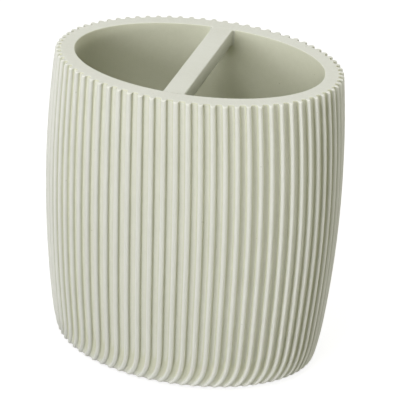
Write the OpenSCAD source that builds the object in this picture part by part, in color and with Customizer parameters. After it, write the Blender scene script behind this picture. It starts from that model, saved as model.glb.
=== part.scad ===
// Oval toothbrush holder with a ribbed outside, a smooth well and a divider bar.
// Lengths are in millimetres. The origin is on the table, under the middle of the
// oval; X runs along the long axis, Y along the bar and Z up.

/* [Body] */
// Width over the ribs where the body is widest
body_w = 102; // [96:0.5:120]
// Depth over the ribs where the body is widest
body_d = 76.7; // [71:0.1:90]
// Height of the ribbed body without its pads
body_h = 106; // [90:0.5:125]
// Height above the body's underside where it is widest
belly_z = 61; // [50:0.5:70]
// How far the wall is drawn in at the rim by the barrel shape
rim_inset = 2.5; // [1:0.1:3.5]
// How far the wall is drawn in at the foot by the barrel shape
foot_inset = 4.3; // [3:0.1:5]
// Height over which the foot of the wall curves in further
foot_curve_h = 14.3; // [10:0.1:20]
// How far that curve goes in
foot_curve_w = 1.1; // [0.5:0.1:1.5]
// Radius of the edge round the underside
foot_edge_r = 1; // [0.5:0.1:1.5]
// Radius that rounds the ribs off at the rim
rim_edge_r = 0.6; // [0.4:0.1:1.5]

/* [Ribs] */
// Number of ribs round the body
rib_count = 75; // [60:1:80]
// Depth of the grooves between the ribs
groove_depth = 1.6; // [0.6:0.1:1.8]
// Depth of the grooves at the underside, where they run out, as a share of that depth
groove_foot_share = 0.4; // [0.1:0.05:1]
// Width of a groove where it opens, as a share of the distance from rib to rib
groove_mouth_share = 0.7; // [0.55:0.01:0.75]
// Width of the flat floor of a groove, as a share of the same distance
groove_floor_share = 0.46; // [0.1:0.01:0.5]
// Height above the underside where the ribs stand upright
upright_z = 38.3; // [30:0.1:45]
// How far the ribs lean round the body between there and the rim
rim_sweep = 2.4; // [0:0.1:4]
// How far the ribs sweep round the body between there and the underside
foot_sweep = 4.7; // [0:0.1:6]

/* [Well] */
// Width of the well at the rim
mouth_w = 84.4; // [78:0.1:86]
// Depth of the well at the rim
mouth_d = 57.4; // [50:0.1:60]
// Width of the well at the underside, where its walls have closed in
well_floor_w = 79; // [70:0.5:80]
// Rounding of the inner edge of the rim
mouth_edge = 0.3; // [0.2:0.1:0.8]

/* [Divider bar] */
// Thickness of the bar across the mouth
bar_w = 7.1; // [5:0.1:10]
// Height of the bar
bar_h = 5.8; // [4:0.1:10]
// Bevel along the edges of the bar
bar_edge = 0.4; // [0.2:0.1:0.8]

/* [Base] */
// Thickness of the plug that closes the well
plug_t = 6; // [4:0.5:10]
// Glue gap between the plug or the bar and the wall of the well
glue_gap = 0.1; // [0.05:0.01:0.2]

/* [Foot pads] */
// Diameter of a foot pad
pad_d = 10; // [6:0.5:12]
// Thickness of a foot pad
pad_t = 1.8; // [1.2:0.1:3]
// How far a pad stands out under the body
pad_proud = 1; // [0.5:0.1:1]
// Clearance round a pad in its recess
pad_gap = 0.1; // [0.05:0.01:0.2]
// How far the pads keep from the edge of the plug
pad_margin = 2.4; // [1.5:0.1:4]
// Where the pads sit round the oval, as its own angle from the long axis
pad_angle = 45; // [35:1:55]

/* [Hidden] */

resin_colour = [0.85, 0.85, 0.79];
pad_colour = [0.93, 0.93, 0.9];
$fn = 180;

// One overrun serves every cut.
cut_over = 1;

half_w = body_w / 2;
half_d = body_d / 2;
deg_per_rad = 180 / PI;
wall_top_z = body_h - rim_edge_r;

// The ribs keep this share of a pitch further apart at the ends of the oval.
gather_share = 0.018;
// The sweep at the foot grows with this power of the distance below upright_z.
foot_sweep_power = 9.8;

// The heights of the rings that shape the wall, as shares of the foot curve, of
// the plain wall and of the rounding at the rim.
foot_ring_shares = [0, 0.022, 0.07, 0.16, 0.28, 0.44, 0.68];
wall_ring_shares = [0, 0.14, 0.3, 0.46, 0.62, 0.78, 0.9];
rim_ring_shares = [0, 0.7, 1];
ring_heights = concat(
    [for (s = foot_ring_shares) s * foot_curve_h],
    [for (s = wall_ring_shares) foot_curve_h + s * (wall_top_z - foot_curve_h)],
    [for (s = rim_ring_shares) wall_top_z + s * rim_edge_r]);

// A quarter round: how far it has gone in at share u of its height, from 0 to 1.
function quarter_round(u) = 1 - sqrt(max(0, 1 - u * u));

// How far the wall is drawn in from the widest outline at height z.
function barrel_inset(z) = z < belly_z
    ? foot_inset * pow((belly_z - z) / belly_z, 2)
    : rim_inset * pow((z - belly_z) / (body_h - belly_z), 2);
function foot_round_inset(z) =
    foot_curve_w * quarter_round(max(0, (foot_curve_h - z) / foot_curve_h))
    + foot_edge_r * quarter_round(max(0, (foot_edge_r - z) / foot_edge_r));
function rim_round_inset(z) = rim_edge_r * quarter_round(max(0, (z - wall_top_z) / rim_edge_r));
function wall_inset(z) = barrel_inset(z) + foot_round_inset(z) + rim_round_inset(z);

// How deep the grooves are at height z: over the foot curve they get shallower.
function groove_depth_at(z) =
    let (below = max(0, (foot_curve_h - z) / foot_curve_h))
    groove_depth * (1 - (1 - groove_foot_share) * below * below);

// How far the ribs have gone round the body at height z, along the widest outline.
function rib_sweep(z) = z < upright_z
    ? -foot_sweep * pow((upright_z - z) / upright_z, foot_sweep_power)
    : -rim_sweep * pow((z - upright_z) / (body_h - upright_z), 2);

// The oval's own angle after so many ribs from the long axis, before they sweep.
function rib_angle(ribs) =
    let (even = 360 * ribs / rib_count)
    even + gather_share / 2 * deg_per_rad * sin(2 * even);

// Length of outline that one radian of the oval's own angle covers.
function outline_rate(angle) = norm([half_w * sin(angle), half_d * cos(angle)]);

// A point of an oval at its own angle, set in square to the outline by depth.
function oval_point(long, short, angle, depth) =
    let (out = [cos(angle) / long, sin(angle) / short], unit = out / norm(out))
    [long * cos(angle), short * sin(angle)] - depth * unit;

// A point so many ribs round at height z, set in by depth.
function rib_point(ribs, z, depth) =
    let (start = rib_angle(ribs),
         turned = start + rib_sweep(z) * deg_per_rad / outline_rate(start))
    concat(oval_point(half_w, half_d, turned, wall_inset(z) + depth), z);

// The four corners of each groove and rib, all round the body.
half_floor_share = groove_floor_share / 2;
half_mouth_share = groove_mouth_share / 2;
function rib_ring(z) = [for (k = [0:rib_count - 1]) each [
    rib_point(k - half_floor_share, z, groove_depth_at(z)),
    rib_point(k + half_floor_share, z, groove_depth_at(z)),
    rib_point(k + half_mouth_share, z, 0),
    rib_point(k + 1 - half_mouth_share, z, 0)]];

// Half the width of the well at height z, and its depth as a share of its width.
function well_half_w(z) = (well_floor_w + (mouth_w - well_floor_w) * z / body_h) / 2;
well_depth_share = mouth_d / mouth_w;

// A smooth ring inside the body with a point opposite each point of a rib ring.
function well_ring(z, half) = [for (p = rib_ring(body_h))
    let (angle = atan2(p.y / half_d, p.x / half_w))
    [half * cos(angle), half * well_depth_share * sin(angle), z]];

// The faces of a closed skin over rings of n points, the last ring joined to the first.
function skin_faces(rings, n) = [
    for (j = [0:rings - 1], i = [0:n - 1])
        let (next = (j + 1) % rings, side = (i + 1) % n,
             a = j * n + i, b = j * n + side, c = next * n + i, d = next * n + side)
        each [[a, c, b], [b, c, d]]];

// Cast body: ribbed outside, flat rim, and a well that goes right through.
module ribbed_body() {
    rings = concat(
        [for (z = ring_heights) rib_ring(z)],
        [well_ring(body_h, well_half_w(body_h) + mouth_edge)],
        [well_ring(body_h - mouth_edge, well_half_w(body_h - mouth_edge))],
        [well_ring(0, well_half_w(0))]);
    color(resin_colour)
        translate([0, 0, pad_proud])
            polyhedron([for (r = rings) each r], skin_faces(len(rings), len(rings[0])));
}

// The space inside the well between two heights, less a gap all round.
module well_space(low, high, low_half, high_half) {
    translate([0, 0, pad_proud + low])
        scale([1, well_depth_share, 1])
            cylinder(h = high - low, r1 = low_half - glue_gap, r2 = high_half - glue_gap);
}

// The end view of the bar: a rectangle with its four edges bevelled.
module bar_profile() {
    x = bar_w / 2;
    e = bar_edge;
    polygon([[e - x, 0], [x - e, 0], [x, e], [x, bar_h - e],
             [x - e, bar_h], [e - x, bar_h], [-x, bar_h - e], [-x, e]]);
}

// Divider bar: spans the mouth, flush with the rim, its ends shaped to the wall.
module divider_bar() {
    bar_z = body_h - bar_h;
    edge_z = body_h - mouth_edge;
    color(resin_colour)
        intersection() {
            translate([0, mouth_d / 2 + cut_over, pad_proud + bar_z])
                rotate([90, 0, 0])
                    linear_extrude(mouth_d + 2 * cut_over)
                        bar_profile();
            union() {
                well_space(bar_z - cut_over, edge_z,
                           well_half_w(bar_z - cut_over), well_half_w(edge_z));
                well_space(edge_z, body_h, well_half_w(edge_z), well_half_w(body_h) + mouth_edge);
            }
        }
}

// The four places of the foot pads, set in from the edge of the plug.
plug_half_w = well_half_w(0) - glue_gap;
pad_inset = pad_d / 2 + pad_margin;
pad_turns = [180 + pad_angle, 180 - pad_angle, -pad_angle, pad_angle];
pad_places = [for (turn = pad_turns)
    oval_point(plug_half_w, plug_half_w * well_depth_share, turn, pad_inset)];

// Base plug: closes the well from inside, with recesses for the pads underneath.
module base_plug() {
    recess_h = pad_t - pad_proud;
    color(resin_colour)
        difference() {
            well_space(0, plug_t, well_half_w(0), well_half_w(plug_t));
            for (place = pad_places)
                translate([place.x, place.y, pad_proud - cut_over])
                    cylinder(h = cut_over + recess_h, d = pad_d + 2 * pad_gap);
        }
}

// Foot pad: a soft disc let into the plug, which the holder stands on.
module foot_pad(n) {
    color(pad_colour)
        translate([pad_places[n].x, pad_places[n].y, 0])
            cylinder(h = pad_t, d = pad_d);
}

ribbed_body();
divider_bar();
base_plug();
foot_pad(0);  // foot_pad_1
foot_pad(1);  // foot_pad_2
foot_pad(2);  // foot_pad_3
foot_pad(3);  // foot_pad_4
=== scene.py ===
"""Oval toothbrush holder in pale cast resin: its looks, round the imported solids."""
from math import cos, pi, radians, sin, sqrt

import bmesh
import bpy
from mathutils import Matrix, Vector


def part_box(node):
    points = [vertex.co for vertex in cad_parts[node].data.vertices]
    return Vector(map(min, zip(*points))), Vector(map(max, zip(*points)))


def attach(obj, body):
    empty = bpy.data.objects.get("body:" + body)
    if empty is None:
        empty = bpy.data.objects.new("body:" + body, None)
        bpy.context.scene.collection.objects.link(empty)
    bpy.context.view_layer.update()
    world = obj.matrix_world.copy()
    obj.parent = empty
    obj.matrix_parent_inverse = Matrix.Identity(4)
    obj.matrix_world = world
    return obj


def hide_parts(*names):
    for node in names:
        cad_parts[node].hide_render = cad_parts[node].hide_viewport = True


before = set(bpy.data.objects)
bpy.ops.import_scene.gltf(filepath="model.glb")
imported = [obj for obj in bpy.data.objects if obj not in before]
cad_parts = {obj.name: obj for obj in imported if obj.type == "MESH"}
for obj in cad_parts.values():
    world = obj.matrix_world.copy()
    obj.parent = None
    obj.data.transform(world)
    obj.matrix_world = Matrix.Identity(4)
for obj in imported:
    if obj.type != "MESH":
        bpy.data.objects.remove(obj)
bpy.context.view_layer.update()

MM = 0.001

# The body's sizes in millimetres, the same as in the part's source, apart from the
# share of the groove depth that is left at the foot, which is a plain number.
BODY = {
    "Body width": 102, "Body depth": 76.7, "Body height": 106, "Widest height": 61,
    "Rim inset": 2.5, "Foot inset": 4.3, "Foot curve height": 14.3, "Foot curve width": 1.1,
    "Foot edge radius": 1, "Rim edge radius": 0.6,
    "Groove depth": 1.6, "Groove foot share": 0.4,
    "Upright height": 38.3, "Rim sweep": 2.4, "Foot sweep": 4.7,
    "Mouth width": 84.4, "Mouth depth": 57.4, "Well floor width": 79, "Mouth edge": 0.3,
    "Pad height": 1,
}
RIB_COUNT = 75
# The ribs keep a little further apart at the ends of the oval.
GATHER_SHARE = 0.018
# The sweep at the foot grows with this power of the distance below the upright height.
FOOT_SWEEP_POWER = 9.8

# The other pieces, also in millimetres apart from the counts.
BAR_W, BAR_H, BAR_EDGE, BAR_CORNER, BAR_CORNER_STEPS = 7.1, 5.8, 0.45, 0.9, 6
PLUG_T, PLUG_EASE = 6, 0.5
PAD_D, PAD_T, PAD_GAP = 10, 1.8, 0.1
PAD_FOOT_EDGE, PAD_TOP_EDGE = 0.5, 0.15
# The dished foot of a pad, as shares of its radius and heights.
PAD_DISH = ((0.45, 0.12), (0.72, 0.1), (0.8, 0))
PAD_NUMBERS = range(1, 5)
# Points round the plug, a recess and a pad.
PLUG_AROUND, RECESS_AROUND, PAD_AROUND = 180, 64, 72
# How far a dressed piece keeps from the wall that it fits against.
SEAM = 0.02
# A row of points this far behind a rounded edge keeps the shading beyond it flat.
EDGE_ROW = 0.4
# Points closer together than this are one, between bands and within a plain piece.
BAND_MERGE, POINT_MERGE = 0.003, 0.002
# Edges of more degrees than this stay sharp, apart from those of the soft pads.
SMOOTH_ANGLE, PAD_SMOOTH_ANGLE = 35, 50


# Node helpers.

class Number:
    """A number socket. A sum written on it adds its Math nodes."""

    def __init__(self, nodes, socket):
        self.nodes, self.socket = nodes, socket

    def math(self, operation, *others):
        """A Math node with this number as its first value."""
        node = self.nodes.add("ShaderNodeMath", {"operation": operation},
                              dict(enumerate((self,) + others)))
        return Number(self.nodes, node.outputs[0])

    def swapped(self, operation, first):
        """A Math node with this number as its second value."""
        node = self.nodes.add("ShaderNodeMath", {"operation": operation}, {0: first, 1: self})
        return Number(self.nodes, node.outputs[0])

    def __add__(self, other): return self.math("ADD", other)
    def __radd__(self, other): return self.swapped("ADD", other)
    def __sub__(self, other): return self.math("SUBTRACT", other)
    def __rsub__(self, other): return self.swapped("SUBTRACT", other)
    def __mul__(self, other): return self.math("MULTIPLY", other)
    def __rmul__(self, other): return self.swapped("MULTIPLY", other)
    def __truediv__(self, other): return self.math("DIVIDE", other)
    def __rtruediv__(self, other): return self.swapped("DIVIDE", other)
    def __pow__(self, other): return self.math("POWER", other)
    def __neg__(self): return self.math("MULTIPLY", -1)

    def most(self, other): return self.math("MAXIMUM", other)
    def over(self, other): return self.math("GREATER_THAN", other)
    def floor(self): return self.math("FLOOR")
    def whole(self): return self.math("ROUND")
    def root(self): return self.math("SQRT")
    def sine(self): return self.math("SINE")
    def cosine(self): return self.math("COSINE")

    def between(self, low, high, start=0, end=1, smooth=True):
        """This number taken from low..high to start..end, held at both ends."""
        node = self.nodes.add(
            "ShaderNodeMapRange",
            {"interpolation_type": "SMOOTHSTEP" if smooth else "LINEAR", "clamp": True},
            {"Value": self, "From Min": low, "From Max": high, "To Min": start, "To Max": end})
        return Number(self.nodes, node.outputs["Result"])


class Nodes:
    """One node tree, and the one way in which its nodes are added."""

    def __init__(self, tree):
        self.tree = tree

    def add(self, kind, settings=None, values=None):
        """A node with its settings set first and then its values or links."""
        node = self.tree.nodes.new(kind)
        for name, value in (settings or {}).items():
            if name == "items":
                while len(node.index_switch_items) < value:
                    node.index_switch_items.new()
            else:
                setattr(node, name, value)
        for name, value in (values or {}).items():
            for one in value if isinstance(value, list) else [value]:
                one = one.socket if isinstance(one, Number) else one
                if isinstance(one, bpy.types.NodeSocket):
                    self.tree.links.new(one, node.inputs[name])
                else:
                    node.inputs[name].default_value = one
        return node

    def number(self, kind, settings=None, values=None, output=0):
        """A node of which only one number is used."""
        return Number(self, self.add(kind, settings, values).outputs[output])


# Materials.

def linear(red, green, blue):
    """A colour given as it looks on screen, 0 to 255, made linear."""
    def one(level):
        share = level / 255
        return share / 12.92 if share <= 0.04045 else ((share + 0.055) / 1.055) ** 2.4
    return one(red), one(green), one(blue), 1.0


def mixed(nodes, share, first, second, blend="MIX"):
    """The first colour taken towards the second, or multiplied by it, by that share."""
    node = nodes.add("ShaderNodeMix",
                     {"data_type": "RGBA", "blend_type": blend, "clamp_result": True},
                     {0: share, 6: first, 7: second})
    return node.outputs[2]


def new_material(name):
    """An empty material, and the way in which its nodes are added."""
    material = bpy.data.materials.new(name)
    material.use_nodes = True
    material.node_tree.nodes.clear()
    return material, Nodes(material.node_tree)


def finish_material(nodes, shader):
    """Makes that shader the surface of the material."""
    nodes.add("ShaderNodeOutputMaterial", None, {"Surface": shader})


def seen_directly(nodes):
    """1 for what the camera sees, itself or by way of a mirror or glass, and 0 for light."""
    path = nodes.add("ShaderNodeLightPath").outputs
    seen = Number(nodes, path["Is Camera Ray"])
    seen = seen.most(Number(nodes, path["Is Glossy Ray"]))
    return seen.most(Number(nodes, path["Is Transmission Ray"]))


RESIN = linear(222, 223, 216)
RESIN_DULL = linear(215, 216, 207)
RESIN_PALE = linear(232, 232, 228)
PORE = linear(150, 151, 128)
# Painted shade: what the walls of the grooves and of the well keep of the resin's tone.
GROOVE_PAINTED_SHADE = (0.86, 0.86, 0.74, 1)
WELL_PAINTED_SHADE = (0.97, 0.97, 0.87, 1)
# How far each kind of mark takes the resin towards its own tone.
CLOUD_TINT, MOTTLE_TINT, GRAIN_TINT, STREAK_TINT = 0.35, 0.16, 0.2, 0.3
# The shoulders' share is a painted highlight along the edges of the ribs.
PORE_TINT, SHOULDER_PAINTED_HIGHLIGHT = 0.35, 0.6
# How many of each kind of mark there are in a metre, and of streaks round and up the body.
CLOUDS, MOTTLES, GRAINS, PORES = 48, 420, 1900, 360
STREAKS_ROUND, STREAKS_UP = 2400, 45
# Pores lie in the cells whose chance is above this.
PORE_CHANCE = 0.86
# How strong the fine relief is, and how high.
RESIN_BUMP, RESIN_BUMP_HEIGHT = 0.35, 0.06 * MM

# The same for the soft pads, with their haze and their specks.
PAD_MILK, PAD_HAZE = linear(236, 236, 231), linear(222, 223, 216)
PAD_SPECK, SPECK_TINT = linear(180, 180, 172), 0.3
HAZES, SPECKS = 260, 900
PAD_BUMP, PAD_BUMP_HEIGHT = 0.3, 0.05 * MM

# The floor's own paint, and how brightly it glows where it is seen.
FLOOR_PAINT, FLOOR_GLOW = (0.3, 0.3, 0.3, 1), 0.86
WHITE, BLACK = (1, 1, 1, 1), (0, 0, 0, 1)


def resin_material(name, ribbed):
    """Cast resin in pale sage: matte, finely grained; when ribbed, painted shade in its grooves
    and well and a painted highlight on the rib shoulders.
    """
    material, nodes = new_material(name)
    place = nodes.add("ShaderNodeTexCoord").outputs["Object"]

    def noise(scale, detail=2.0, vector=place):
        return nodes.number("ShaderNodeTexNoise", None, {
            "Vector": vector, "Scale": scale, "Detail": detail, "Roughness": 0.55})

    cloud = noise(CLOUDS, 3.0)
    mottle = noise(MOTTLES)
    grain = noise(GRAINS)
    cells = nodes.add("ShaderNodeTexVoronoi", {"feature": "F1"},
                      {"Vector": place, "Scale": PORES, "Randomness": 1})
    chance = nodes.number("ShaderNodeSeparateColor", None, {0: cells.outputs["Color"]})
    pore_size = 0.05 + chance.between(PORE_CHANCE, 1, 0, 0.05, False)
    from_middle = Number(nodes, cells.outputs["Distance"])
    pores = pore_size.over(from_middle) * chance.over(PORE_CHANCE)
    colour = mixed(nodes, cloud.between(0.35, 0.68, 0, CLOUD_TINT), RESIN, RESIN_DULL)
    colour = mixed(nodes, mottle.between(0.4, 0.7, 0, MOTTLE_TINT), colour, RESIN_PALE)
    colour = mixed(nodes, grain.between(0.42, 0.75, 0, GRAIN_TINT), colour, RESIN_PALE)
    height = grain * 0.6 + mottle * 0.5 + cloud * 0.4
    if ribbed:
        # How far a point lies round and up the body, and whether it is in the well.
        track = nodes.add("ShaderNodeAttribute", {"attribute_name": "rib_track"})
        inner = nodes.number("ShaderNodeSeparateXYZ", None, {0: track.outputs["Vector"]}, 2)
        # How deep it lies in a groove, as a share of the groove's depth.
        deep = nodes.number("ShaderNodeAttribute", {"attribute_name": "groove_share"}, None, "Fac")
        stretched = nodes.add(
            "ShaderNodeVectorMath", {"operation": "MULTIPLY"},
            {0: track.outputs["Vector"], 1: (STREAKS_ROUND, STREAKS_UP, 0)})
        streaks = noise(1, 2.0, stretched.outputs[0]) * (1 - inner)
        # Painted highlight along the shoulders of the ribs, just outside the grooves.
        painted_shoulder_highlight = deep.between(0.01, 0.05) * deep.between(0.12, 0.4, 1, 0)
        # Painted shade on the walls of the grooves, and a little less on their floors.
        painted_groove_shade = deep.between(0.35, 0.7) * deep.between(0.9, 0.97, 1, 0.45)
        colour = mixed(nodes, streaks.between(0.42, 0.7, 0, STREAK_TINT), colour, RESIN_PALE)
        colour = mixed(nodes, painted_shoulder_highlight * SHOULDER_PAINTED_HIGHLIGHT, colour, RESIN_PALE)
        colour = mixed(nodes, painted_groove_shade, colour, GROOVE_PAINTED_SHADE, "MULTIPLY")
        # Painted shade over the inside of the well, fading in over the mouth edge.
        colour = mixed(nodes, inner, colour, WELL_PAINTED_SHADE, "MULTIPLY")
        height = height + streaks * 0.5
    colour = mixed(nodes, pores * PORE_TINT, colour, PORE)
    bump = nodes.add("ShaderNodeBump", None, {
        "Strength": RESIN_BUMP, "Distance": RESIN_BUMP_HEIGHT, "Height": height - pores * 0.6})
    shader = nodes.add("ShaderNodeBsdfPrincipled", None, {
        "Base Color": colour,
        "Roughness": cloud.between(0.3, 0.7, 0.58, 0.68),
        "Specular IOR Level": 0.5,
        "Normal": bump.outputs[0]})
    finish_material(nodes, shader.outputs[0])
    return material


def pad_material():
    """Soft milk-white pad, a little glossier than the resin."""
    material, nodes = new_material("soft_pad")
    place = nodes.add("ShaderNodeTexCoord").outputs["Object"]
    haze = nodes.number("ShaderNodeTexNoise", None,
                        {"Vector": place, "Scale": HAZES, "Detail": 3, "Roughness": 0.6})
    dust = nodes.number("ShaderNodeTexVoronoi", {"feature": "F1"},
                        {"Vector": place, "Scale": SPECKS, "Randomness": 1})
    specks = dust.between(0.06, 0.12, 1, 0)
    colour = mixed(nodes, haze.between(0.35, 0.7, 0, 0.5), PAD_MILK, PAD_HAZE)
    colour = mixed(nodes, specks * SPECK_TINT, colour, PAD_SPECK)
    bump = nodes.add("ShaderNodeBump", None, {
        "Strength": PAD_BUMP, "Distance": PAD_BUMP_HEIGHT, "Height": haze - specks * 0.3})
    shader = nodes.add("ShaderNodeBsdfPrincipled", None, {
        "Base Color": colour,
        "Roughness": haze.between(0.3, 0.7, 0.38, 0.5),
        "Normal": bump.outputs[0]})
    finish_material(nodes, shader.outputs[0])
    return material


def floor_material():
    """White studio floor that still takes the shadow of what stands on it."""
    material, nodes = new_material("studio_floor")
    paint = nodes.add("ShaderNodeBsdfDiffuse", None, {"Color": FLOOR_PAINT})
    dark = nodes.add("ShaderNodeEmission", None, {"Color": BLACK, "Strength": 0})
    glow = nodes.add("ShaderNodeEmission", None, {"Color": WHITE, "Strength": FLOOR_GLOW})
    lit = nodes.add("ShaderNodeMixShader", None,
                    {0: seen_directly(nodes), 1: dark.outputs[0], 2: glow.outputs[0]})
    both = nodes.add("ShaderNodeAddShader", None, {0: paint.outputs[0], 1: lit.outputs[0]})
    finish_material(nodes, both.outputs[0])
    return material


resin_ribbed = resin_material("cast_resin_ribbed", True)
resin_plain = resin_material("cast_resin_plain", False)
soft_pad = pad_material()


# Ribbed body.

# How much of the distance from rib to rib the crests of the ribs and the floors of the
# grooves take.
CREST_SHARE, FLOOR_SHARE = 0.37, 0.48
# How far the edges of a crest and of a groove's floor are rounded off, as shares of the
# groove depth.
CROWN_SHARE, HOLLOW_SHARE = 0.3, 0.1
FLOOR_END, CREST_START = FLOOR_SHARE / 2, (1 - CREST_SHARE) / 2
# Where the points of a rib's section lie, from the middle of a groove to the middle of
# the rib, as shares of the distance from rib to rib.
SECTION_SHARES = (
    [FLOOR_END * share for share in (0, 0.55)]
    + [FLOOR_END + (CREST_START - FLOOR_END) * share for share in (0, 0.2, 0.4, 0.6, 0.8)]
    + [CREST_START + CREST_SHARE / 2 * share for share in (0, 0.3, 0.65, 1)])
HALF_STEPS = len(SECTION_SHARES) - 1


def eased(value, low, high):
    """0 below low, 1 above high, and smooth between them."""
    share = min(1, max(0, (value - low) / (high - low)))
    return share * share * (3 - 2 * share)


def section_depth(place):
    """How deep a rib's section is there, as a share of the groove depth."""
    from_rib = 1 - 2 * place
    wall = eased(from_rib, CREST_SHARE, 1 - FLOOR_SHARE)
    crown = CROWN_SHARE * min(1, from_rib / CREST_SHARE) ** 2
    hollow = 1 - HOLLOW_SHARE * min(1, 2 * place / FLOOR_SHARE) ** 2
    return crown * (1 - wall) + hollow * wall


# The rows of each band of the skin, from the foot up, over the rim and down the well.
ROWS = {"foot edge": 5, "foot curve": 13, "wall": 18, "rim edge": 8, "rim": 5,
        "mouth edge": 4, "well": 5, "underside": 3}
# The powers by which rows draw together, towards the foot and towards the mouth.
FOOT_ROW_POWER, WELL_ROW_POWER = 1.5, 1.4
# How near its edges the outer rows of the flat rim and of the underside lie, as shares.
RIM_ROW_SHARE, UNDERSIDE_ROW_SHARE = 0.06, 0.05
# The power by which the groove share, and with it the painted groove shade and shoulder highlight,
# fades over the underside.
UNDERSIDE_FADE = 6


def group_with(name, sizes, counts):
    """A geometry tree with named inputs for its sizes and counts."""
    tree = bpy.data.node_groups.new(name, "GeometryNodeTree")
    tree.interface.new_socket("Geometry", in_out="INPUT", socket_type="NodeSocketGeometry")
    tree.interface.new_socket("Geometry", in_out="OUTPUT", socket_type="NodeSocketGeometry")
    for label in sizes:
        tree.interface.new_socket(label, in_out="INPUT", socket_type="NodeSocketFloat")
    for label in counts:
        tree.interface.new_socket(label, in_out="INPUT", socket_type="NodeSocketInt")
    return tree


def ribbed_body_tree():
    """The whole skin of the body, each band of it a grid bent into place.

    A grid's X counts the points round the body and its Y is how far up the band a point
    is, from 0 to 1. Lengths are in millimetres until a band is put in place.
    """
    tree = group_with("Ribbed body", BODY, ["Rib count"])
    nodes = Nodes(tree)
    source = nodes.add("NodeGroupInput")
    size = {label: Number(nodes, source.outputs[label]) for label in list(BODY) + ["Rib count"]}
    half_w, half_d = size["Body width"] / 2, size["Body depth"] / 2
    body_h, belly_z = size["Body height"], size["Widest height"]
    rim_r, foot_r = size["Rim edge radius"], size["Foot edge radius"]
    mouth_r = size["Mouth edge"]
    well_share = size["Mouth depth"] / size["Mouth width"]
    steps_each = 2 * HALF_STEPS
    around = size["Rib count"] * steps_each

    spot = nodes.add("ShaderNodeSeparateXYZ", None,
                     {0: nodes.add("GeometryNodeInputPosition").outputs[0]})
    step = (Number(nodes, spot.outputs["X"]) + around / 2).whole()
    rise = Number(nodes, spot.outputs["Y"]) + 0.5

    # The groove that a point belongs to, and its place beside the groove's middle.
    groove = ((step + (HALF_STEPS - 1)) / steps_each).floor()
    beside = step - groove * steps_each
    right = beside.over(0) * 2 - 1
    apart = beside.math("ABSOLUTE")

    def by_section(values):
        """The one of these values for this point of a rib's section."""
        return nodes.number("GeometryNodeIndexSwitch",
                            {"data_type": "FLOAT", "items": len(values)},
                            {0: apart, **{n + 1: float(v) for n, v in enumerate(values)}})

    cut = by_section([section_depth(place) for place in SECTION_SHARES])
    turn = (groove + by_section(SECTION_SHARES) * right) / size["Rib count"] * (2 * pi)
    start = turn + (turn * 2).sine() * (GATHER_SHARE / 2)
    rate = ((half_w * start.sine()) ** 2 + (half_d * start.cosine()) ** 2).root()

    def barrel_inset(z):
        """How far the barrel shape draws the wall in at this height."""
        below = ((belly_z - z) / belly_z).most(0)
        above = ((z - belly_z) / (body_h - belly_z)).most(0)
        return size["Foot inset"] * below ** 2 + size["Rim inset"] * above ** 2

    def foot_curve_inset(z):
        """How far the curve at the foot goes in at this height."""
        share = ((size["Foot curve height"] - z) / size["Foot curve height"]).most(0)
        return size["Foot curve width"] * (1 - (1 - share ** 2).most(0).root())

    def sweep(z):
        """How far the ribs have gone round the body at this height."""
        low = ((size["Upright height"] - z) / size["Upright height"]).most(0)
        high = ((z - size["Upright height"]) / (body_h - size["Upright height"])).most(0)
        return -(size["Foot sweep"] * low ** FOOT_SWEEP_POWER) - size["Rim sweep"] * high ** 2

    def angle_at(z):
        """The oval's own angle of this point at this height."""
        return start + sweep(z) / rate

    def cut_at(z):
        """How deep the section is at this height: the grooves run out over the foot."""
        below = ((size["Foot curve height"] - z) / size["Foot curve height"]).most(0)
        return cut * (1 - (1 - size["Groove foot share"]) * below ** 2)

    def outer_point(z, rounding):
        """A point of the ribbed outside, set in by that much more at a rounded edge."""
        angle = angle_at(z)
        across, deep = angle.cosine(), angle.sine()
        out_x, out_y = across / half_w, deep / half_d
        length = (out_x ** 2 + out_y ** 2).root()
        inset = (barrel_inset(z) + foot_curve_inset(z) + rounding
                 + size["Groove depth"] * cut_at(z))
        return (half_w * across - inset * out_x / length,
                half_d * deep - inset * out_y / length)

    def well_point(z, flare):
        """A point of the well's wall, set out by that much at a rounded edge."""
        angle = angle_at(z)
        half = (size["Well floor width"]
                + (size["Mouth width"] - size["Well floor width"]) * z / body_h) / 2 + flare
        return half * angle.cosine(), half * well_share * angle.sine()

    def band(label, x, y, z, deep=0.0, inner=0.0):
        """One band of the skin, with what its material needs to know of each point."""
        grid = nodes.add("GeometryNodeMeshGrid", None,
                         {"Size X": around, "Size Y": 1.0, "Vertices X": around + 1,
                          "Vertices Y": ROWS[label] + 1})
        track = nodes.add("ShaderNodeCombineXYZ", None,
                          {0: turn * half_w * MM, 1: z * MM, 2: inner})
        marked = nodes.add("GeometryNodeStoreNamedAttribute",
                           {"data_type": "FLOAT_VECTOR", "domain": "POINT"},
                           {"Geometry": grid.outputs["Mesh"], "Name": "rib_track",
                            "Value": track.outputs[0]})
        marked = nodes.add("GeometryNodeStoreNamedAttribute",
                           {"data_type": "FLOAT", "domain": "POINT"},
                           {"Geometry": marked.outputs[0], "Name": "groove_share",
                            "Value": deep})
        place = nodes.add("ShaderNodeCombineXYZ", None,
                          {0: x * MM, 1: y * MM, 2: (z + size["Pad height"]) * MM})
        return nodes.add("GeometryNodeSetPosition", None,
                         {"Geometry": marked.outputs[0],
                          "Position": place.outputs[0]}).outputs[0]

    wall_top = body_h - rim_r
    quarter = rise * (pi / 2)
    bands = []

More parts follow.
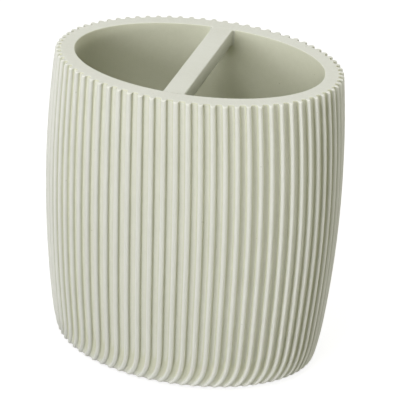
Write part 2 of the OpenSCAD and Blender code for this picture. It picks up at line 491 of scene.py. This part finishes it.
    z = foot_r * (1 - quarter.cosine())
    bands.append(band("foot edge", *outer_point(z, foot_r * (1 - quarter.sine())), z,
                      cut_at(z)))
    z = foot_r + (size["Foot curve height"] - foot_r) * rise ** FOOT_ROW_POWER
    bands.append(band("foot curve", *outer_point(z, 0), z, cut_at(z)))
    z = size["Foot curve height"] + (wall_top - size["Foot curve height"]) * rise
    bands.append(band("wall", *outer_point(z, 0), z, cut))
    z = wall_top + rim_r * quarter.sine()
    bands.append(band("rim edge", *outer_point(z, rim_r * (1 - quarter.cosine())), z,
                      cut * (1 - rise ** 2)))

    def across_flat(row, near):
        """How far across a flat band a point is, its outer rows near the two edges."""
        lean = (rise.between(0, row, 0, near, False)
                + rise.between(row, 1 - row, 0, 1 - 2 * near, False))
        return lean + rise.between(1 - row, 1, 0, near, False)

    ground = rise * 0
    lean = across_flat(1 / ROWS["rim"], RIM_ROW_SHARE)
    outer_x, outer_y = outer_point(body_h, rim_r)
    inner_x, inner_y = well_point(body_h, mouth_r)
    bands.append(band("rim", outer_x + (inner_x - outer_x) * lean,
                      outer_y + (inner_y - outer_y) * lean, body_h + ground))
    z = body_h - mouth_r * (1 - quarter.cosine())
    bands.append(band("mouth edge", *well_point(z, mouth_r * (1 - quarter.sine())), z,
                      inner=rise))
    z = (body_h - mouth_r) * (1 - rise ** WELL_ROW_POWER)
    bands.append(band("well", *well_point(z, 0), z, inner=1.0))
    inner_x, inner_y = well_point(ground, 0)
    outer_x, outer_y = outer_point(ground, foot_r)
    lean = across_flat(1 / ROWS["underside"], UNDERSIDE_ROW_SHARE)
    bands.append(band("underside", inner_x + (outer_x - inner_x) * lean,
                      inner_y + (outer_y - inner_y) * lean, ground,
                      cut_at(ground) * lean ** UNDERSIDE_FADE))

    joined = nodes.add("GeometryNodeJoinGeometry", None, {"Geometry": bands})
    merged = nodes.add("GeometryNodeMergeByDistance", None,
                       {"Geometry": joined.outputs[0], "Distance": BAND_MERGE * MM})
    smooth = nodes.add("GeometryNodeSetShadeSmooth", None,
                       {"Geometry": merged.outputs[0], "Shade Smooth": True})
    real = nodes.add("GeometryNodeRealizeInstances", None, {"Geometry": smooth.outputs[0]})
    dressed = nodes.add("GeometryNodeSetMaterial", None,
                        {"Geometry": real.outputs[0], "Material": resin_ribbed})
    nodes.add("NodeGroupOutput", None, {"Geometry": dressed.outputs[0]})
    return tree


def from_tree(name, tree, inputs):
    """Runs a geometry tree once and keeps its result as a plain mesh."""
    piece = bpy.data.objects.new(name, bpy.data.meshes.new(name))
    bpy.context.scene.collection.objects.link(piece)
    modifier = piece.modifiers.new("build", "NODES")
    modifier.node_group = tree
    for item in tree.interface.items_tree:
        if item.in_out == "INPUT" and item.name in inputs:
            modifier[item.identifier] = inputs[item.name]
    graph = bpy.context.evaluated_depsgraph_get()
    graph.update()
    mesh = bpy.data.meshes.new_from_object(piece.evaluated_get(graph), depsgraph=graph)
    mesh.name = name
    piece.modifiers.clear()
    piece.data = mesh
    return piece


def turn_outwards(piece):
    """Turns the faces of a closed piece outwards."""
    shell = bmesh.new()
    shell.from_mesh(piece.data)
    bmesh.ops.recalc_face_normals(shell, faces=shell.faces)
    shell.to_mesh(piece.data)
    shell.free()
    piece.data.update()


body_inputs = {label: float(value) for label, value in BODY.items()}
body_inputs["Rib count"] = RIB_COUNT
ribbed_body = from_tree("ribbed_body_skin", ribbed_body_tree(), body_inputs)
turn_outwards(ribbed_body)
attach(ribbed_body, "root")
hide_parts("ribbed_body")


# Divider bar.

WELL_DEPTH_SHARE = BODY["Mouth depth"] / BODY["Mouth width"]


def quarter_round(share):
    """How far a quarter round has gone out at that share of its height, from 0 to 1."""
    share = min(1, max(0, share))
    return 1 - sqrt(1 - share * share)


def well_half(z):
    """Half the width of the well at height z over the body's underside."""
    low, high = BODY["Well floor width"], BODY["Mouth width"]
    tall, edge = BODY["Body height"], BODY["Mouth edge"]
    flare = edge * quarter_round((z - (tall - edge)) / edge)
    return (low + (high - low) * z / tall) / 2 + flare


def well_reach(x, z):
    """How far the well reaches along Y from the middle, at this x and height."""
    half = well_half(z)
    return half * WELL_DEPTH_SHARE * sqrt(1 - (x / half) ** 2)


def shade_by_angle(mesh, degrees):
    """Smooth shading, except at edges that are sharper than that."""
    mesh.shade_smooth()
    mesh.set_sharp_from_angle(angle=radians(degrees))


def mesh_piece(name, points, faces, material, smooth_angle=SMOOTH_ANGLE):
    """A closed piece from points in millimetres, with its faces turned outwards."""
    mesh = bpy.data.meshes.new(name)
    mesh.from_pydata([tuple(c * MM for c in p) for p in points], [], faces)
    mesh.materials.append(material)
    piece = bpy.data.objects.new(name, mesh)
    bpy.context.scene.collection.objects.link(piece)
    shell = bmesh.new()
    shell.from_mesh(mesh)
    bmesh.ops.remove_doubles(shell, verts=shell.verts, dist=POINT_MERGE * MM)
    bmesh.ops.recalc_face_normals(shell, faces=shell.faces)
    shell.to_mesh(mesh)
    shell.free()
    shade_by_angle(mesh, smooth_angle)
    return piece


def tube_faces(rings, around):
    """The faces of a closed tube of rings with so many points around."""
    def side(ring, n):
        return ring * around + n % around
    faces = [(side(ring, n), side(ring, n + 1), side(ring + 1, n + 1), side(ring + 1, n))
             for ring in range(rings - 1) for n in range(around)]
    return faces + [tuple(range(around)), tuple(side(rings - 1, n) for n in range(around))]


def rounded_profile(half_w, height, radius, steps=4):
    """The end view of the bar, from its lower left corner round."""
    corners = [(half_w - radius, radius, -90), (half_w - radius, height - radius, 0),
               (radius - half_w, height - radius, 90), (radius - half_w, radius, 180)]
    return [(x + radius * cos(radians(turn + 90 * s / steps)),
             z + radius * sin(radians(turn + 90 * s / steps)))
            for x, z, turn in corners for s in range(steps + 1)]


def divider_bar():
    """Bar across the mouth, its ends flared and shaped to the wall of the well."""
    profile = rounded_profile(BAR_W / 2, BAR_H, BAR_EDGE)
    low = BODY["Body height"] - BAR_H
    # How far each ring of points lies from the wall of the well: close together in the
    # rounded corners at the ends, and then two more for the straight part.
    aways = [BAR_CORNER * (1 - cos(pi / 2 * step / BAR_CORNER_STEPS))
             for step in range(BAR_CORNER_STEPS + 1)]
    aways += [BAR_CORNER + EDGE_ROW, 10 * EDGE_ROW]
    rings = [(-1, away) for away in aways] + [(1, away) for away in reversed(aways)]
    points = []
    for side, away in rings:
        flare = BAR_CORNER * quarter_round((BAR_CORNER - away) / BAR_CORNER)
        for x, z in profile:
            wide = x + flare * x / (BAR_W / 2)
            reach = well_reach(wide, low + z) - SEAM
            points.append((wide, side * (reach - away), low + z + BODY["Pad height"]))
    return mesh_piece("divider_bar_cast", points, tube_faces(len(rings), len(profile)),
                      resin_plain)


bar = divider_bar()
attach(bar, "root")
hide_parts("divider_bar")


# Base plug and foot pads.

def revolved(profile, around, at=(0, 0), stretch=1.0):
    """Points and faces of a profile of (radius, height) turned round a vertical axis."""
    turns = [2 * pi * n / around for n in range(around)]
    points = [(at[0] + radius * cos(turn), at[1] + radius * stretch * sin(turn), height)
              for radius, height in profile for turn in turns]
    return points, tube_faces(len(profile), around)


def arc(radius, start, end, centre, steps=4):
    """Points of an arc between two angles in degrees."""
    angles = [radians(start + (end - start) * step / steps) for step in range(steps + 1)]
    return [(centre[0] + radius * cos(angle), centre[1] + radius * sin(angle))
            for angle in angles]


def pad_place(number):
    """The middle of a foot pad in millimetres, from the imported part."""
    low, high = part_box(f"foot_pad_{number}")
    middle = (low + high) / 2
    return middle.x / MM, middle.y / MM


def base_plug():
    """Plug that closes the well from inside, its edges eased, recessed for the pads."""
    low, high = BODY["Pad height"], BODY["Pad height"] + PLUG_T
    low_half, high_half = well_half(0) - SEAM, well_half(PLUG_T) - SEAM
    flat = PLUG_EASE + EDGE_ROW
    profile = [(low_half * 0.5, low), (low_half - flat, low)]
    profile += arc(PLUG_EASE, -90, 0, (low_half - PLUG_EASE, low + PLUG_EASE))
    profile += arc(PLUG_EASE, 0, 90, (high_half - PLUG_EASE, high - PLUG_EASE))
    profile += [(high_half - flat, high), (high_half * 0.5, high)]
    points, faces = revolved(profile, PLUG_AROUND, stretch=WELL_DEPTH_SHARE)
    plug = mesh_piece("base_plug_cast", points, faces, resin_plain)
    recess_half = PAD_D / 2 + PAD_GAP
    cutters = []
    for number in PAD_NUMBERS:
        hole = [(recess_half, low - 1), (recess_half, PAD_T + SEAM)]
        points, faces = revolved(hole, RECESS_AROUND, pad_place(number))
        cutters.append(mesh_piece("cutter", points, faces, resin_plain))
        cut = plug.modifiers.new("recess", "BOOLEAN")
        cut.operation, cut.solver, cut.object = "DIFFERENCE", "EXACT", cutters[-1]
    graph = bpy.context.evaluated_depsgraph_get()
    graph.update()
    mesh = bpy.data.meshes.new_from_object(plug.evaluated_get(graph), depsgraph=graph)
    plug.modifiers.clear()
    plug.data = mesh
    for cutter in cutters:
        bpy.data.objects.remove(cutter, do_unlink=True)
    shade_by_angle(mesh, SMOOTH_ANGLE)
    return plug


def foot_pad(number):
    """Soft disc with a rounded foot, let into the plug."""
    half = PAD_D / 2
    profile = [(half * share, height) for share, height in PAD_DISH]
    profile += arc(PAD_FOOT_EDGE, -90, 0, (half - PAD_FOOT_EDGE, PAD_FOOT_EDGE), 5)
    profile += arc(PAD_TOP_EDGE, 0, 90, (half - PAD_TOP_EDGE, PAD_T - PAD_TOP_EDGE), 3)
    points, faces = revolved(profile, PAD_AROUND, pad_place(number))
    return mesh_piece(f"foot_pad_{number}_soft", points, faces, soft_pad, PAD_SMOOTH_ANGLE)


plug = base_plug()
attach(plug, "root")
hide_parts("base_plug")
for number in PAD_NUMBERS:
    pad = foot_pad(number)
    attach(pad, "root")
    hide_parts(f"foot_pad_{number}")


# Studio.

# The camera's angle round and over the holder and its roll, in degrees, and the point
# that it looks at and its distance from there, in millimetres.
VIEW_TURN, VIEW_TILT, VIEW_ROLL = 15.042, 27.293, -2.99
VIEW_TARGET, VIEW_DISTANCE = (2.884, 0, 55.265), 715.23
SENSOR_WIDTH, LENS = 36, 189.135
# Weak yellowish light from all round, which is most of what reaches the deep places.
AIR_LEVEL, AIR_COLOUR = 0.08, (1, 0.98, 0.25, 1)
FLOOR_HALF = 3
# Each lamp's name, its angles round and over the holder in degrees, its distance, width
# and height in metres, its power in watts and its colour.
LAMPS = [
    ("key_softbox", -23, 9, 1.4, 0.7, 0.7, 11.5, (1, 1, 1)),
    ("high_softbox", -23, 52, 1.4, 0.7, 0.7, 6, (1, 1, 1)),
    ("right_softbox", 75, 4, 1.4, 0.7, 0.3, 5.5, (1, 0.99, 0.88)),
    ("back_softbox", 165, 20, 1.4, 0.7, 0.7, 4, (1, 1, 1)),
    ("top_softbox", 0, 88, 1.4, 0.7, 0.7, 8, (1, 1, 1)),
]
# The point that the lamps face, half-way up the holder.
LAMP_TARGET = (0, 0, 0.05)


def direction(turn, tilt):
    """From the holder towards whatever stands at those angles round and over it."""
    a, e = radians(turn), radians(tilt)
    return Vector((sin(a) * cos(e), -cos(a) * cos(e), sin(e)))


def camera():
    """The photograph's viewing angle, with its slight roll."""
    turn, roll = radians(VIEW_TURN), radians(VIEW_ROLL)
    back = direction(VIEW_TURN, VIEW_TILT)
    right = Vector((cos(turn), sin(turn), 0))
    up = back.cross(right)
    side = right * cos(roll) - up * sin(roll)
    top = right * sin(roll) + up * cos(roll)
    place = Vector(VIEW_TARGET) * MM + back * (VIEW_DISTANCE * MM)
    lens = bpy.data.cameras.new("photo_view")
    lens.sensor_width = SENSOR_WIDTH
    lens.lens = LENS
    lens.clip_start = 0.01
    view = bpy.data.objects.new("photo_view", lens)
    view.matrix_world = Matrix((
        (side.x, top.x, back.x, place.x),
        (side.y, top.y, back.y, place.y),
        (side.z, top.z, back.z, place.z),
        (0, 0, 0, 1)))
    bpy.context.scene.collection.objects.link(view)
    bpy.context.scene.camera = view


def softbox(name, turn, tilt, distance, width, height, power, colour):
    """A rectangular soft light that faces the holder."""
    lamp = bpy.data.lights.new(name, "AREA")
    lamp.shape, lamp.size, lamp.size_y, lamp.energy = "RECTANGLE", width, height, power
    lamp.color = colour
    away = direction(turn, tilt)
    lit = bpy.data.objects.new(name, lamp)
    lit.location = Vector(LAMP_TARGET) + away * distance
    lit.rotation_euler = away.to_track_quat("Z", "Y").to_euler()
    bpy.context.scene.collection.objects.link(lit)


def studio():
    """The white room, its lamps and its floor."""
    world = bpy.data.worlds.new("studio_air")
    world.use_nodes = True
    world.node_tree.nodes.clear()
    nodes = Nodes(world.node_tree)
    air = nodes.add("ShaderNodeBackground", None, {"Color": AIR_COLOUR, "Strength": AIR_LEVEL})
    white = nodes.add("ShaderNodeBackground", None, {"Color": WHITE, "Strength": 1})
    both = nodes.add("ShaderNodeMixShader", None,
                     {0: seen_directly(nodes), 1: air.outputs[0], 2: white.outputs[0]})
    nodes.add("ShaderNodeOutputWorld", None, {"Surface": both.outputs[0]})
    bpy.context.scene.world = world
    for lamp in LAMPS:
        softbox(*lamp)
    far = FLOOR_HALF
    mesh = bpy.data.meshes.new("studio_floor")
    mesh.from_pydata([(-far, -far, 0), (far, -far, 0), (far, far, 0), (-far, far, 0)], [],
                     [(0, 1, 2, 3)])
    floor = bpy.data.objects.new("studio_floor", mesh)
    floor.data.materials.append(floor_material())
    bpy.context.scene.collection.objects.link(floor)


camera()
studio()
bpy.context.scene.view_settings.view_transform = "Standard"
